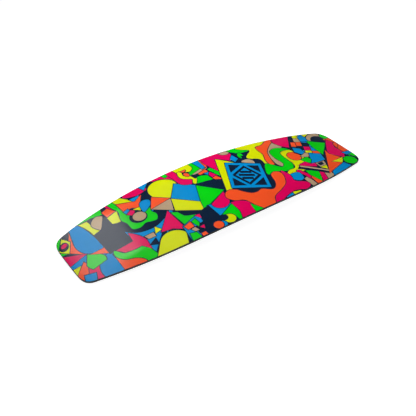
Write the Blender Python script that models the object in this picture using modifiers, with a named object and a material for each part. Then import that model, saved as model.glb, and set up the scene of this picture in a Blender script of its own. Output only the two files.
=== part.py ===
"""Twin-tip wakeboard without bindings or fins, as its separate bonded pieces.

Metres, +Z up. The board lies base side up and rests on the deck edges of its two tips. +X runs along it to
the nose, +Y across it to the heel side, and the origin is on the floor under the board's middle.
"""

import math

import bmesh
import bpy
from mathutils import Vector

# Outline, seen from above.
LENGTH = 1.380
WIDTH = 0.435
TIP_WIDTH = 0.266  # between the side lines where they would meet the ends
SIDE_FULLNESS = 0.36  # share of a side line's curve that comes late, near the tips
CORNER_LENGTH = 0.041  # of each rounded corner, along the board
CORNER_WIDTH = 0.064  # of each rounded corner, across the board
TIP_BULGE = 0.18  # an end edge is x = half length - TIP_BULGE * y * y

# Side view and cross-section.
ROCKER = 0.060  # the base falls this far from its middle to its ends
ROCKER_POWER = 1.81
CENTRE_THICKNESS = 0.017
EDGE_THICKNESS = 0.010
RAIL_WIDTH = 0.060  # the base slopes down to the edge over this width
RAIL_DROP = 0.004
RAIL_FADE = (0.40, 0.62)  # distances from the middle between which that slope dies out
DECK_BEVEL_WIDTH = 0.045
TIP_LEVEL_START = 0.45  # from here outwards, lines of equal height bend to follow the end edge

# The sandwich, from the base to the deck.
GAP = 0.0003  # between pieces that touch
BASE_SHEET = 0.0008
LAMINATE = 0.0007
TOP_SHEET = 0.0005
SIDE_UNDERCUT = 0.0015  # the side face leans in by this from the base to the deck
DECK_LIP = 0.009  # width of sidewall left bare around the deck
SIDEWALL_WIDTH = 0.014
TIP_JOINT = 0.600  # distance from the middle to the core's ends

# Core planks, and the inserts on the usual two-line binding pattern.
PLANK_WIDTH = 0.0508
PLANKS_PER_SIDE = 4
STANCE = 0.584  # between the middles of the two binding pads
PAD_LENGTH = 0.150  # the deck is flat over this length under each binding
INSERT_LINE_OFFSET = 0.0762  # from the centre line: the lines are 6 inches apart
INSERT_PITCH = 0.0254
INSERTS_PER_LINE = 5
INSERT_HEIGHT = 0.0115
INSERT_RADIUS = 0.0045
FLANGE_RADIUS = 0.008
FLANGE_THICKNESS = 0.0015
THREAD_RADIUS = 0.0025
THREAD_DEPTH = 0.0095
INSERT_SIDES = 12
BLOCK_WIDTH = 0.030
BLOCK_MARGIN = 0.012  # of block beyond the last insert's axis

# Places along the board where its surfaces have a row of points.
MIDDLE_STEPS = 4
PAD_STEPS = 2
OUTER_STEPS = 5
CORNER_STEPS = 5

HALF_LENGTH = LENGTH / 2
CORNER_START = HALF_LENGTH - CORNER_LENGTH
PAD_MIDDLE = STANCE / 2
PAD_START = PAD_MIDDLE - PAD_LENGTH / 2
PAD_END = PAD_MIDDLE + PAD_LENGTH / 2
BASE_STACK = BASE_SHEET + GAP + LAMINATE + GAP  # from the base's face to the core
DECK_STACK = TOP_SHEET + GAP + LAMINATE + GAP  # from the deck's face to the core
CLEAR = 0.02  # how far a cutter runs past the surface it opens
SIDES = {"toe": -1, "heel": 1}
ENDS = {"tail": -1, "nose": 1}


def clamp(value):
    return min(max(value, 0.0), 1.0)


def blend(value, start, end):
    """0 up to start, 1 from end on, and a smooth step between."""
    share = clamp((value - start) / (end - start))
    return share * share * (3 - 2 * share)


# ---- the outline -----------------------------------------------------------------------------------------


def side_line(x):
    """Half the board's width at x, before its corners are rounded."""
    share = (x / HALF_LENGTH) ** 2
    fall = (1 - SIDE_FULLNESS) * share + SIDE_FULLNESS * share * share
    return (WIDTH - (WIDTH - TIP_WIDTH) * fall) / 2


def side_direction(x):
    """Which way the side line runs at x, towards the tip."""
    share = x / HALF_LENGTH
    slope = (1 - SIDE_FULLNESS) * share + 2 * SIDE_FULLNESS * share**3
    return Vector((1, -(WIDTH - TIP_WIDTH) * slope / HALF_LENGTH))


def corner_points():
    """Start, control point and end of the curve that rounds the corner."""
    start = Vector((CORNER_START, side_line(CORNER_START)))
    end_y = start.y - CORNER_WIDTH
    end = Vector((HALF_LENGTH - TIP_BULGE * end_y * end_y, end_y))
    along = side_direction(CORNER_START)
    across = Vector((-2 * TIP_BULGE * end_y, 1))
    reach = (end - start).cross(across) / along.cross(across)
    return start, start + reach * along, end


def edge(station, inset):
    """The outline's point at a station from 0 to HALF_LENGTH, on the heel side of the nose, moved in."""
    if station <= CORNER_START:
        point = Vector((station, side_line(station)))
        along = side_direction(station)
    else:
        start, control, end = corner_points()
        t = (station - CORNER_START) / CORNER_LENGTH
        point = (1 - t) ** 2 * start + 2 * t * (1 - t) * control + t * t * end
        along = (1 - t) * (control - start) + t * (end - control)
    outward = Vector((-along.y, along.x)).normalized()
    return point - inset * outward


def stations():
    """Where the rows of points are, from tail to nose."""

    def steps(start, end, count):
        return [start + (end - start) * i / count for i in range(count)]

    half = (
        steps(0, PAD_START, MIDDLE_STEPS)
        + steps(PAD_START, PAD_END, PAD_STEPS)
        + steps(PAD_END, CORNER_START, OUTER_STEPS)
        + steps(CORNER_START, HALF_LENGTH, CORNER_STEPS)
        + [HALF_LENGTH]
    )
    return [-s for s in half[:0:-1]] + half


def row_across(station, inset):
    """(x, y) of the points across the board at a station, from the toe edge to the heel edge."""
    corner = edge(abs(station), inset)
    middle = abs(station) - inset * clamp((abs(station) - CORNER_START) / CORNER_LENGTH)
    half = [corner.y - (distance - inset) for distance in (inset, DECK_BEVEL_WIDTH, RAIL_WIDTH)]
    row = [-y for y in half] + [0.0] + half[::-1]
    bend = [(middle - corner.x) * (y / corner.y) ** 2 for y in row]
    return [(math.copysign(middle - b, station), y) for b, y in zip(bend, row)]


# ---- heights ---------------------------------------------------------------------------------------------


def level_distance(x, y):
    """Distance along the board that sets a point's height, so that the curved end edges are level."""
    return abs(x) + TIP_BULGE * y * y * clamp((abs(x) - TIP_LEVEL_START) / (HALF_LENGTH - TIP_LEVEL_START))


def base_line(distance):
    """Height of the base's flat middle, from its highest point."""
    return -ROCKER * (distance / HALF_LENGTH) ** ROCKER_POWER


def thickness(distance):
    return EDGE_THICKNESS + (CENTRE_THICKNESS - EDGE_THICKNESS) * (1 - (distance / HALF_LENGTH) ** 2)


def deck_line(distance):
    """Height of the deck's flat middle. It is straight under each binding."""
    if PAD_START < distance < PAD_END:
        share = (distance - PAD_START) / PAD_LENGTH
        return (1 - share) * deck_line(PAD_START) + share * deck_line(PAD_END)
    return base_line(distance) - thickness(distance)


LIFT = -deck_line(HALF_LENGTH - SIDE_UNDERCUT)  # stands the tips' deck edges on the floor


def edge_share(x, y, width):
    """0 inside, rising to 1 over the given width up to the side line."""
    return clamp(1 - (side_line(x) - abs(y)) / width)


def rail_drop(x):
    return RAIL_DROP * (1 - blend(abs(x), *RAIL_FADE))


def base_height(x, y):
    return LIFT + base_line(level_distance(x, y)) - rail_drop(x) * edge_share(x, y, RAIL_WIDTH)


def deck_height(x, y):
    distance = level_distance(x, y)
    rise = thickness(distance) - EDGE_THICKNESS - rail_drop(x)
    return LIFT + deck_line(distance) + rise * edge_share(x, y, DECK_BEVEL_WIDTH)


def below_base(depth):
    """A surface at this depth under the base's face. A negative depth is above it."""
    return lambda x, y: base_height(x, y) - depth


def above_deck(depth):
    """A surface at this depth into the board from the deck's face. A negative depth is outside it."""
    return lambda x, y: deck_height(x, y) + depth


# ---- making objects --------------------------------------------------------------------------------------


def clear_scene():
    for old in list(bpy.data.objects):
        bpy.data.objects.remove(old, do_unlink=True)


def new_collection(name):
    collection = bpy.data.collections.new(name)
    bpy.context.scene.collection.children.link(collection)
    return collection


def material(name, colour, roughness, metallic=0.0):
    made = bpy.data.materials.new(name)
    made.use_nodes = True
    shader = made.node_tree.nodes["Principled BSDF"]
    shader.inputs["Base Color"].default_value = (*colour, 1.0)
    shader.inputs["Roughness"].default_value = roughness
    shader.inputs["Metallic"].default_value = metallic
    return made


def add_piece(name, mesh, look):
    """A piece of the board. Pieces that share a mesh also share its material."""
    piece = bpy.data.objects.new(name, mesh)
    if not mesh.materials:
        mesh.materials.append(look)
    board.objects.link(piece)
    return piece


def add_cutter(name, mesh, collection=None):
    """A shape that a Boolean uses, in the collection of all cutters unless another is given."""
    cutter = bpy.data.objects.new(name, mesh)
    cutter.hide_render = True
    cutter.display_type = "WIRE"
    (collection or cutters).objects.link(cutter)
    return cutter


def combine(piece, operation, cutter):
    """Booleans a piece with a cutter, or with a whole collection of them."""
    step = piece.modifiers.new(f"{operation.lower()} {cutter.name}", "BOOLEAN")
    step.operation = operation
    step.solver = "EXACT"
    if isinstance(cutter, bpy.types.Collection):
        step.operand_type = "COLLECTION"
        step.collection = cutter
    else:
        step.object = cutter


def box_mesh(name, low, high):
    shape = bmesh.new()
    bmesh.ops.create_cube(shape, size=1)
    size = Vector(high) - Vector(low)
    middle = (Vector(high) + Vector(low)) / 2
    for vert in shape.verts:
        vert.co = Vector(c * s for c, s in zip(vert.co, size)) + middle
    mesh = bpy.data.meshes.new(name)
    shape.to_mesh(mesh)
    shape.free()
    return mesh


def add_skin(shape, rows):
    """Triangles through rows of points, with diagonals that mirror each other from quarter to quarter."""
    for row, following in zip(rows, rows[1:]):
        for i in range(1, len(row)):
            corners = [row[i - 1], row[i], following[i], following[i - 1]]
            if (row[i].co.x + following[i].co.x) * (row[i].co.y + row[i - 1].co.y) < 0:
                corners = corners[1:] + corners[:1]
            shape.faces.new(corners[:3])
            shape.faces.new([corners[0], *corners[2:]])


def add_wall(shape, upper, lower):
    for i in range(1, len(upper)):
        shape.faces.new((upper[i - 1], upper[i], lower[i], lower[i - 1]))


def slab_mesh(name, top, bottom, top_inset, bottom_inset):
    """A closed body between two surfaces of the board, lofted through its stations.

    Each surface is a function of (x, y), and its inset is how far it stops short of the outline.
    """
    shape = bmesh.new()
    skins = []
    for surface, inset in ((top, top_inset), (bottom, bottom_inset)):
        rows = []
        for station in stations():
            rows.append([shape.verts.new((x, y, surface(x, y))) for x, y in row_across(station, inset)])
        add_skin(shape, rows)
        skins.append(rows)
    upper, lower = skins
    for end in (0, -1):
        add_wall(shape, upper[end], lower[end])
        add_wall(shape, [row[end] for row in upper], [row[end] for row in lower])
    bmesh.ops.recalc_face_normals(shape, faces=shape.faces)
    mesh = bpy.data.meshes.new(name)
    shape.to_mesh(mesh)
    shape.free()
    return mesh


def turned_mesh(name, profile):
    """A body turned about Z from (radius, height) points that run from the axis round to the axis."""
    mesh = bpy.data.meshes.new(name + "_profile")
    mesh.from_pydata([(r, 0, z) for r, z in profile], [(i - 1, i) for i in range(1, len(profile))], [])
    turner = bpy.data.objects.new(name + "_turner", mesh)
    bpy.context.scene.collection.objects.link(turner)
    screw = turner.modifiers.new("turn", "SCREW")
    screw.steps = INSERT_SIDES
    screw.render_steps = INSERT_SIDES
    screw.use_merge_vertices = True
    screw.merge_threshold = 0.0001
    screw.use_normal_flip = False
    graph = bpy.context.evaluated_depsgraph_get()
    turned = bpy.data.meshes.new_from_object(turner.evaluated_get(graph))
    turned.name = name
    bpy.data.objects.remove(turner, do_unlink=True)
    turned.shade_smooth()
    turned.set_sharp_from_angle(angle=math.radians(40))
    return turned


# ---- skins -----------------------------------------------------------------------------------------------


def make_base_skins():
    sheet = slab_mesh("base_sheet", below_base(0), below_base(BASE_SHEET), 0, 0)
    add_piece("base_sheet", sheet, material("printed_base", (0.005, 0.27, 0.62), 0.2))
    depth = BASE_SHEET + GAP
    laminate = slab_mesh("base_laminate", below_base(depth), below_base(depth + LAMINATE), 0, 0)
    add_piece("base_laminate", laminate, glass_fibre)


def make_deck_skins():
    inset = DECK_LIP + GAP
    sheet = slab_mesh("top_sheet", above_deck(TOP_SHEET), above_deck(0), inset, inset)
    top_sheet = add_piece("top_sheet", sheet, material("deck_sheet", (0.02, 0.025, 0.035), 0.35))
    depth = TOP_SHEET + GAP
    laminate = slab_mesh("deck_laminate", above_deck(depth + LAMINATE), above_deck(depth), inset, inset)
    deck_laminate = add_piece("deck_laminate", laminate, glass_fibre)
    for skin in (top_sheet, deck_laminate):
        for line in insert_holes.values():
            combine(skin, "DIFFERENCE", line)


# ---- the edge: sidewalls and tip spacers -----------------------------------------------------------------


def make_edges():
    look = material("cast_urethane", (0.015, 0.016, 0.02), 0.4)
    frame = slab_mesh("edge_frame", below_base(BASE_STACK), above_deck(0), 0, SIDE_UNDERCUT)
    step = slab_mesh("deck_step", above_deck(DECK_STACK), above_deck(-CLEAR), DECK_LIP, DECK_LIP)
    deck_step = add_cutter("deck_step", step)
    bay = slab_mesh("core_bay", below_base(-CLEAR), above_deck(-CLEAR), SIDEWALL_WIDTH, SIDEWALL_WIDTH)
    core_bay = add_cutter("core_bay", bay)
    for side, sign in SIDES.items():
        span = sorted((0, sign * WIDTH))
        box = box_mesh(f"sidewall_{side}_run", (-TIP_JOINT, span[0], -CLEAR), (TIP_JOINT, span[1], WIDTH))
        wall = add_piece(f"sidewall_{side}", frame, look)
        combine(wall, "INTERSECT", add_cutter(f"sidewall_{side}_run", box))
        combine(wall, "DIFFERENCE", core_bay)
        combine(wall, "DIFFERENCE", deck_step)
    for end, sign in ENDS.items():
        span = sorted((sign * (TIP_JOINT + GAP), sign * LENGTH))
        box = box_mesh(f"tip_{end}_run", (span[0], -WIDTH, -CLEAR), (span[1], WIDTH, WIDTH))
        spacer = add_piece(f"tip_spacer_{end}", frame, look)
        combine(spacer, "INTERSECT", add_cutter(f"tip_{end}_run", box))
        combine(spacer, "DIFFERENCE", deck_step)


# ---- inserts ---------------------------------------------------------------------------------------------


def insert_profile(clearance):
    """An insert's outside, grown by a clearance, from its flanged end inwards to its neck."""
    end = INSERT_HEIGHT + clearance
    shoulder = INSERT_HEIGHT - FLANGE_THICKNESS - clearance
    flange = FLANGE_RADIUS + clearance
    return [(0, end), (flange, end), (flange, shoulder), (INSERT_RADIUS + clearance, shoulder)]


def insert_mesh():
    """Its mouth is at height 0, flush with the deck, and its blind thread runs up from there."""
    mouth = [(INSERT_RADIUS, 0), (THREAD_RADIUS, 0), (THREAD_RADIUS, THREAD_DEPTH), (0, THREAD_DEPTH)]
    return turned_mesh("threaded_insert", insert_profile(0) + mouth)


def insert_hole_mesh():
    mouth = [(INSERT_RADIUS + GAP, -CLEAR), (0, -CLEAR)]
    return turned_mesh("insert_hole", insert_profile(GAP) + mouth)


def insert_places(end_sign, side_sign):
    """Where one line of inserts meets the deck, and the turn that squares them to it."""
    slope = (deck_line(PAD_END) - deck_line(PAD_START)) / PAD_LENGTH
    turn = (0, -math.atan(slope) * end_sign, 0)
    y = side_sign * INSERT_LINE_OFFSET
    for i in range(INSERTS_PER_LINE):
        x = end_sign * (PAD_MIDDLE + (i - (INSERTS_PER_LINE - 1) / 2) * INSERT_PITCH)
        yield (x, y, deck_height(x, y)), turn


def make_insert_holes():
    """One collection of hole cutters for each line, by (end, side)."""
    mesh = insert_hole_mesh()
    holes = {}
    for end, end_sign in ENDS.items():
        for side, side_sign in SIDES.items():
            line = bpy.data.collections.new(f"holes_{end}_{side}")
            cutters.children.link(line)
            for i, (place, turn) in enumerate(insert_places(end_sign, side_sign), 1):
                hole = add_cutter(f"hole_{end}_{side}_{i}", mesh, line)
                hole.location = place
                hole.rotation_euler = turn
            holes[end, side] = line
    return holes


def make_inserts():
    mesh = insert_mesh()
    look = material("plated_steel", (0.62, 0.60, 0.55), 0.3, 1.0)
    for end, end_sign in ENDS.items():
        for side, side_sign in SIDES.items():
            for i, (place, turn) in enumerate(insert_places(end_sign, side_sign), 1):
                insert = add_piece(f"insert_{end}_{side}_{i}", mesh, look)
                insert.location = place
                insert.rotation_euler = turn


# ---- the core --------------------------------------------------------------------------------------------


def core_mesh():
    """The whole core in one, which each plank and block is a part of."""
    inset = SIDEWALL_WIDTH + GAP
    return slab_mesh("core", below_base(BASE_STACK), above_deck(DECK_STACK), inset, inset)


def block_box(name, end_sign, side_sign, margin):
    """A box around one insert block, grown by margin."""
    half_length = INSERT_PITCH * (INSERTS_PER_LINE - 1) / 2 + BLOCK_MARGIN + margin
    half_width = BLOCK_WIDTH / 2 + margin
    x = end_sign * PAD_MIDDLE
    y = side_sign * INSERT_LINE_OFFSET
    low = (x - half_length, y - half_width, -CLEAR)
    return box_mesh(name, low, (x + half_length, y + half_width, WIDTH))


def make_blocks():
    core = core_mesh()
    look = material("dense_hardwood", (0.33, 0.17, 0.07), 0.6)
    for end, end_sign in ENDS.items():
        for side, side_sign in SIDES.items():
            name = f"insert_block_{end}_{side}"
            block = add_piece(name, core, look)
            box = block_box(f"{name}_run", end_sign, side_sign, 0)
            combine(block, "INTERSECT", add_cutter(f"{name}_run", box))
            combine(block, "DIFFERENCE", insert_holes[end, side])


def make_planks():
    core = core_mesh()
    look = material("core_wood", (0.62, 0.45, 0.27), 0.7)
    reach = TIP_JOINT - GAP
    for side, side_sign in SIDES.items():
        for i in range(1, PLANKS_PER_SIDE + 1):
            name = f"core_plank_{side}_{i}"
            inner = (i - 1) * PLANK_WIDTH + GAP / 2
            outer = i * PLANK_WIDTH - GAP / 2
            span = sorted((side_sign * inner, side_sign * outer))
            box = box_mesh(f"{name}_run", (-reach, span[0], -CLEAR), (reach, span[1], WIDTH))
            plank = add_piece(name, core, look)
            combine(plank, "INTERSECT", add_cutter(f"{name}_run", box))
            if span[0] < side_sign * INSERT_LINE_OFFSET < span[1]:
                for end, end_sign in ENDS.items():
                    pocket = block_box(f"pocket_{end}_{side}", end_sign, side_sign, GAP)
                    combine(plank, "DIFFERENCE", add_cutter(f"pocket_{end}_{side}", pocket))


clear_scene()
board = new_collection("wakeboard")
cutters = new_collection("cutters")
glass_fibre = material("glass_fibre", (0.55, 0.60, 0.50), 0.45)
insert_holes = make_insert_holes()
make_base_skins()
make_edges()
make_planks()
make_blocks()
make_inserts()
make_deck_skins()
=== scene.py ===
"""The wakeboard's finished look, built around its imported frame.

Metres, +Z up. The board lies base side up, +X to its nose, +Y to its heel side.
"""

import math

import bpy
import numpy as np
from mathutils import Matrix, Vector
from mathutils.geometry import delaunay_2d_cdt


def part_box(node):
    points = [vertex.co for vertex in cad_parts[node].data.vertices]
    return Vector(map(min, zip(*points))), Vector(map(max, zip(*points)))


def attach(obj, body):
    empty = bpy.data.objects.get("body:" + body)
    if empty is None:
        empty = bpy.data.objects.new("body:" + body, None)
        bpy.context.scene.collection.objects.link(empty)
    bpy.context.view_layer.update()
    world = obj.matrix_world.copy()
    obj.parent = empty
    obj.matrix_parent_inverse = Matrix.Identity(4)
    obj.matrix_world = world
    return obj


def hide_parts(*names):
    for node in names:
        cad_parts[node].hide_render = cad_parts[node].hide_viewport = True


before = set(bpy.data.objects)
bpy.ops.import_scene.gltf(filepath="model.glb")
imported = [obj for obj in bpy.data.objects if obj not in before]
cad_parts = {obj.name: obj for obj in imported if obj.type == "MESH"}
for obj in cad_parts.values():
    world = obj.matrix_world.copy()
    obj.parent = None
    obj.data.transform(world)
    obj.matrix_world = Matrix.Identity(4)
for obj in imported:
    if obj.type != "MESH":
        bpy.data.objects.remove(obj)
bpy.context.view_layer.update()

# The outline, profile and layers, as the CAD model has them.
TIP_WIDTH = 0.266  # between the side lines where they would meet the ends
SIDE_FULLNESS = 0.36  # share of a side line's curve that comes late, near the tips
CORNER_LENGTH = 0.041  # of each rounded corner, along the board
CORNER_WIDTH = 0.064  # of each rounded corner, across the board
TIP_BULGE = 0.18  # an end edge is x = half length - TIP_BULGE * y * y
ROCKER_POWER = 1.81
CENTRE_THICKNESS = 0.017
EDGE_THICKNESS = 0.010
RAIL_WIDTH = 0.060  # the base slopes down to the edge over this width
RAIL_DROP = 0.004
RAIL_FADE = (0.40, 0.62)  # distances from the middle between which that slope dies out
DECK_BEVEL_WIDTH = 0.045
TIP_LEVEL_START = 0.45  # from here outwards, lines of equal height bend to follow the end edge
GAP = 0.0003  # between pieces that touch
BASE_SHEET = 0.0008
LAMINATE = 0.0007
TOP_SHEET = 0.0005
SIDE_UNDERCUT = 0.0015  # the side face leans in by this from the base to the deck
DECK_LIP = 0.009  # width of sidewall left bare around the deck
SIDEWALL_WIDTH = 0.014
TIP_JOINT = 0.600  # distance from the middle to the core's ends
STANCE = 0.584  # between the middles of the two binding pads
PAD_LENGTH = 0.150  # the deck is flat over this length under each binding
INSERT_LINE_OFFSET = 0.0762  # from the centre line
INSERT_PITCH = 0.0254
INSERTS_PER_LINE = 5
INSERT_HEIGHT = 0.0115
INSERT_RADIUS = 0.0045
FLANGE_RADIUS = 0.008
FLANGE_THICKNESS = 0.0015
THREAD_RADIUS = 0.0025
THREAD_DEPTH = 0.0095
THREAD_PITCH = 0.001
SIDES = {"toe": -1, "heel": 1}
ENDS = {"tail": -1, "nose": 1}

# Sizes that come from the frame.
sheet_low, sheet_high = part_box("base_sheet")
HALF_LENGTH = sheet_high.x
WIDTH = sheet_high.y - sheet_low.y
BASE_TOP = sheet_high.z
ROCKER = BASE_TOP - sheet_low.z - BASE_SHEET
CORNER_START = HALF_LENGTH - CORNER_LENGTH
PAD_MIDDLE = STANCE / 2
PAD_START = PAD_MIDDLE - PAD_LENGTH / 2
PAD_END = PAD_MIDDLE + PAD_LENGTH / 2
BASE_STACK = BASE_SHEET + GAP + LAMINATE + GAP  # from the base's face to the core
DECK_STACK = TOP_SHEET + GAP + LAMINATE + GAP  # from the deck's face to the core

# How finely the visible surfaces are drawn.
STEP = 0.010  # between points along the outline and across the surfaces
CORNER_STEPS = 14
ARC_STEP = math.radians(8)
SPECK = 0.00001  # points nearer than this are one
CREASE = math.radians(35)  # edges that turn by more than this stay sharp
RIM_ROUND = 0.0002  # of a thin layer's edges
EDGE_ROUND = 0.0012  # of the sidewall's edge at the deck
EDGE_ROUND_STEPS = 4

# The print.
GROUND = "navy"  # the ink between the patches of colour
LINE = 0.0034  # width of the dark line around each patch
PRINT_MARGIN = 0.0015  # dark border between the patches and the board's edge
CM = 0.01
CURVE_STEP = 0.4  # between points along a smooth curve, in centimetres


def clamp(value):
    return min(max(value, 0.0), 1.0)


def blend(value, start, end):
    """0 up to start, 1 from end on, and a smooth step between."""
    share = clamp((value - start) / (end - start))
    return share * share * (3 - 2 * share)


def steps(start, end, count):
    """Equal steps from start, up to but without end."""
    return [start + (end - start) * i / count for i in range(count)]


def edges_of(loop):
    """Each point of a closed loop with the next one."""
    return zip(loop, loop[1:] + loop[:1])


def corners_of(loop):
    """Each point of a closed loop between its two neighbours."""
    return zip(loop[-1:] + loop[:-1], loop, loop[1:] + loop[:1])


# ---- the board's outline and heights ----


def side_line(x):
    share = (x / HALF_LENGTH) ** 2
    fall = (1 - SIDE_FULLNESS) * share + SIDE_FULLNESS * share * share
    return (WIDTH - (WIDTH - TIP_WIDTH) * fall) / 2


def side_slope(x):
    share = x / HALF_LENGTH
    rise = (1 - SIDE_FULLNESS) * share + 2 * SIDE_FULLNESS * share**3
    return -(WIDTH - TIP_WIDTH) * rise / HALF_LENGTH


def side_point(x, inset):
    """On the line that runs at a constant distance inside the heel side."""
    slope = side_slope(x)
    return Vector((x, side_line(x) - inset * math.sqrt(1 + slope * slope)))


def moved_in(point, along, inset):
    """A point moved to the right of the direction along the outline."""
    return point - inset * Vector((-along.y, along.x)).normalized()


def quarter(inset, start=0.0):
    """The outline from the heel side at x = start to the middle of the nose, moved in."""
    points = [side_point(start, inset)]
    for x in steps(start, CORNER_START, math.ceil((CORNER_START - start) / STEP))[1:]:
        points.append(moved_in(Vector((x, side_line(x))), Vector((1, side_slope(x))), inset))
    first = Vector((CORNER_START, side_line(CORNER_START)))
    last_y = first.y - CORNER_WIDTH
    last = Vector((HALF_LENGTH - TIP_BULGE * last_y * last_y, last_y))
    along = Vector((1, side_slope(CORNER_START)))
    across = Vector((-2 * TIP_BULGE * last_y, 1))
    control = first + (last - first).cross(across) / along.cross(across) * along
    for t in steps(0, 1, CORNER_STEPS):
        point = (1 - t) ** 2 * first + 2 * t * (1 - t) * control + t * t * last
        direction = (1 - t) * (control - first) + t * (last - control)
        points.append(moved_in(point, direction, inset))
    for y in steps(last_y, 0, math.ceil(last_y / STEP)) + [0.0]:
        tip = Vector((HALF_LENGTH - TIP_BULGE * y * y, y))
        points.append(moved_in(tip, Vector((2 * TIP_BULGE * y, -1)), inset))
    return points


def outline(inset):
    """The whole outline, anticlockwise seen from above, moved in."""
    heel_nose = quarter(inset)
    toe_nose = [Vector((p.x, -p.y)) for p in heel_nose]
    nose = toe_nose[:-1] + heel_nose[::-1]
    tail = [-p for p in nose]
    return nose[:-1] + tail[:-1]


def level_distance(x, y):
    """The distance from the middle at which the centre line is as high as the board is here."""
    bend = clamp((abs(x) - TIP_LEVEL_START) / (HALF_LENGTH - TIP_LEVEL_START))
    return abs(x) + TIP_BULGE * y * y * bend


def base_line(distance):
    return -ROCKER * (distance / HALF_LENGTH) ** ROCKER_POWER


def thickness(distance):
    return EDGE_THICKNESS + (CENTRE_THICKNESS - EDGE_THICKNESS) * (1 - (distance / HALF_LENGTH) ** 2)


def deck_line(distance):
    if PAD_START < distance < PAD_END:
        share = (distance - PAD_START) / PAD_LENGTH
        return (1 - share) * deck_line(PAD_START) + share * deck_line(PAD_END)
    return base_line(distance) - thickness(distance)


def edge_share(x, y, width):
    """0 up to a width from the side line, and 1 on it."""
    return clamp(1 - (side_line(x) - abs(y)) / width)


def rail_drop(x):
    return RAIL_DROP * (1 - blend(abs(x), *RAIL_FADE))


def base_height(x, y):
    return BASE_TOP + base_line(level_distance(x, y)) - rail_drop(x) * edge_share(x, y, RAIL_WIDTH)


def deck_height(x, y):
    distance = level_distance(x, y)
    rise = thickness(distance) - EDGE_THICKNESS - rail_drop(x)
    return BASE_TOP + deck_line(distance) + rise * edge_share(x, y, DECK_BEVEL_WIDTH)


def below_base(depth):
    return lambda x, y: base_height(x, y) - depth


def above_deck(depth):
    return lambda x, y: deck_height(x, y) + depth


def surface_normal(surface, x, y):
    """Upward normal of a height function."""
    reach = 0.0005
    slope_x = (surface(x + reach, y) - surface(x - reach, y)) / (2 * reach)
    slope_y = (surface(x, y + reach) - surface(x, y - reach)) / (2 * reach)
    return Vector((-slope_x, -slope_y, 1)).normalized()


# ---- objects, meshes and nodes ----


def add_object(name, data):
    added = bpy.data.objects.new(name, data)
    bpy.context.scene.collection.objects.link(added)
    return added


def new_mesh(name, verts, faces):
    mesh = bpy.data.meshes.new(name)
    mesh.from_pydata(verts, [], faces)
    return mesh


def add_node(tree, kind, inputs=None, **settings):
    """A node with its settings, and its inputs as values or as other nodes' outputs."""
    node = tree.nodes.new(kind)
    for setting, value in settings.items():
        setattr(node, setting, value)
    for socket, value in (inputs or {}).items():
        if isinstance(value, bpy.types.NodeSocket):
            tree.links.new(value, node.inputs[socket])
        else:
            node.inputs[socket].default_value = value
    return node


# ---- mesh making ----


def grid_points(loop, spacing):
    """Points on a square grid over a loop's box, which let a surface bend between its edges."""
    xs = [p.x for p in loop]
    ys = [p.y for p in loop]
    columns = range(math.ceil(min(xs) / spacing), math.ceil(max(xs) / spacing))
    rows = range(math.ceil(min(ys) / spacing), math.ceil(max(ys) / spacing))
    return [Vector((c * spacing, r * spacing)) for c in columns for r in rows]


def inside(loop, xs, ys):
    """Which of the points lie inside a loop, also where it overlaps itself."""
    winding = np.zeros(len(xs))
    for a, b in edges_of(loop):
        turn = (b.x - a.x) * (ys - a.y) - (xs - a.x) * (b.y - a.y)
        winding += ((a.y <= ys) & (b.y > ys) & (turn > 0)).astype(int)
        winding -= ((a.y > ys) & (b.y <= ys) & (turn < 0)).astype(int)
    return winding != 0


def without_specks(points, triangles):
    """The number of the point that stands for each point, once points that nearly touch are made one."""
    stand_in = list(range(len(points)))
    for tri in triangles:
        for i in range(3):
            a, b = sorted((stand_in[tri[i - 1]], stand_in[tri[i]]))
            if a != b and (points[a] - points[b]).length < SPECK:
                stand_in = [a if v == b else v for v in stand_in]
    return stand_in


BARE, OUTSIDE = -1, -2  # instead of a patch's number


def patches_over(corners, region, patches):
    """The number of the last patch over each triangle, or BARE, or OUTSIDE the region."""
    xs, ys = corners.mean(axis=1).T
    cover = np.where(inside(region, xs, ys), BARE, OUTSIDE)
    for number, patch in enumerate(patches):
        low, high = np.array(patch).min(axis=0), np.array(patch).max(axis=0)
        near = (cover > OUTSIDE) & (xs > low[0]) & (xs < high[0]) & (ys > low[1]) & (ys < high[1])
        near[near] = inside(patch, xs[near], ys[near])
        cover[near] = number
    return cover


def triangulate(region, patches=(), lines=()):
    """Fills a region with triangles that follow every patch's and line's edge.

    Returns the points, the triangles, the number of the last patch over each triangle or BARE and, for each
    of the region's own points, its number in the result.
    """
    points, edges = [], []
    for loop in (region, *patches):
        first, count = len(points), len(loop)
        edges += [(first + i, first + (i + 1) % count) for i in range(count)]
        points += loop
    for line in lines:
        first = len(points)
        edges += [(first + i, first + i + 1) for i in range(len(line) - 1)]
        points += line
    points += grid_points(region, 2 * STEP)
    all_triangles, tolerance = 0, 1e-7
    coords, _, triangles, sources, _, _ = delaunay_2d_cdt(points, edges, [], all_triangles, tolerance, True)
    stand_in = without_specks(coords, triangles)
    triangles = [[stand_in[v] for v in tri] for tri in triangles]
    triangles = [tri for tri in triangles if len(set(tri)) == 3]
    cover = patches_over(np.array(coords)[np.array(triangles)], region, patches)
    kept = [(tri, int(patch)) for tri, patch in zip(triangles, cover) if patch > OUTSIDE]
    used = sorted({v for tri, _ in kept for v in tri})
    place = {v: i for i, v in enumerate(used)}
    own = {}
    for v, origins in enumerate(sources):
        own.update({source: place[stand_in[v]] for source in origins if source < len(region)})
    triangles = [[place[v] for v in tri] for tri, _ in kept]
    return [coords[v] for v in used], triangles, [patch for _, patch in kept], own


def open_edges(triangles):
    """The directed edges that only one triangle has."""
    edges = [(tri[i - 1], tri[i]) for tri in triangles for i in range(3)]
    known = set(edges)
    return [(a, b) for a, b in edges if (b, a) not in known]


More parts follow.
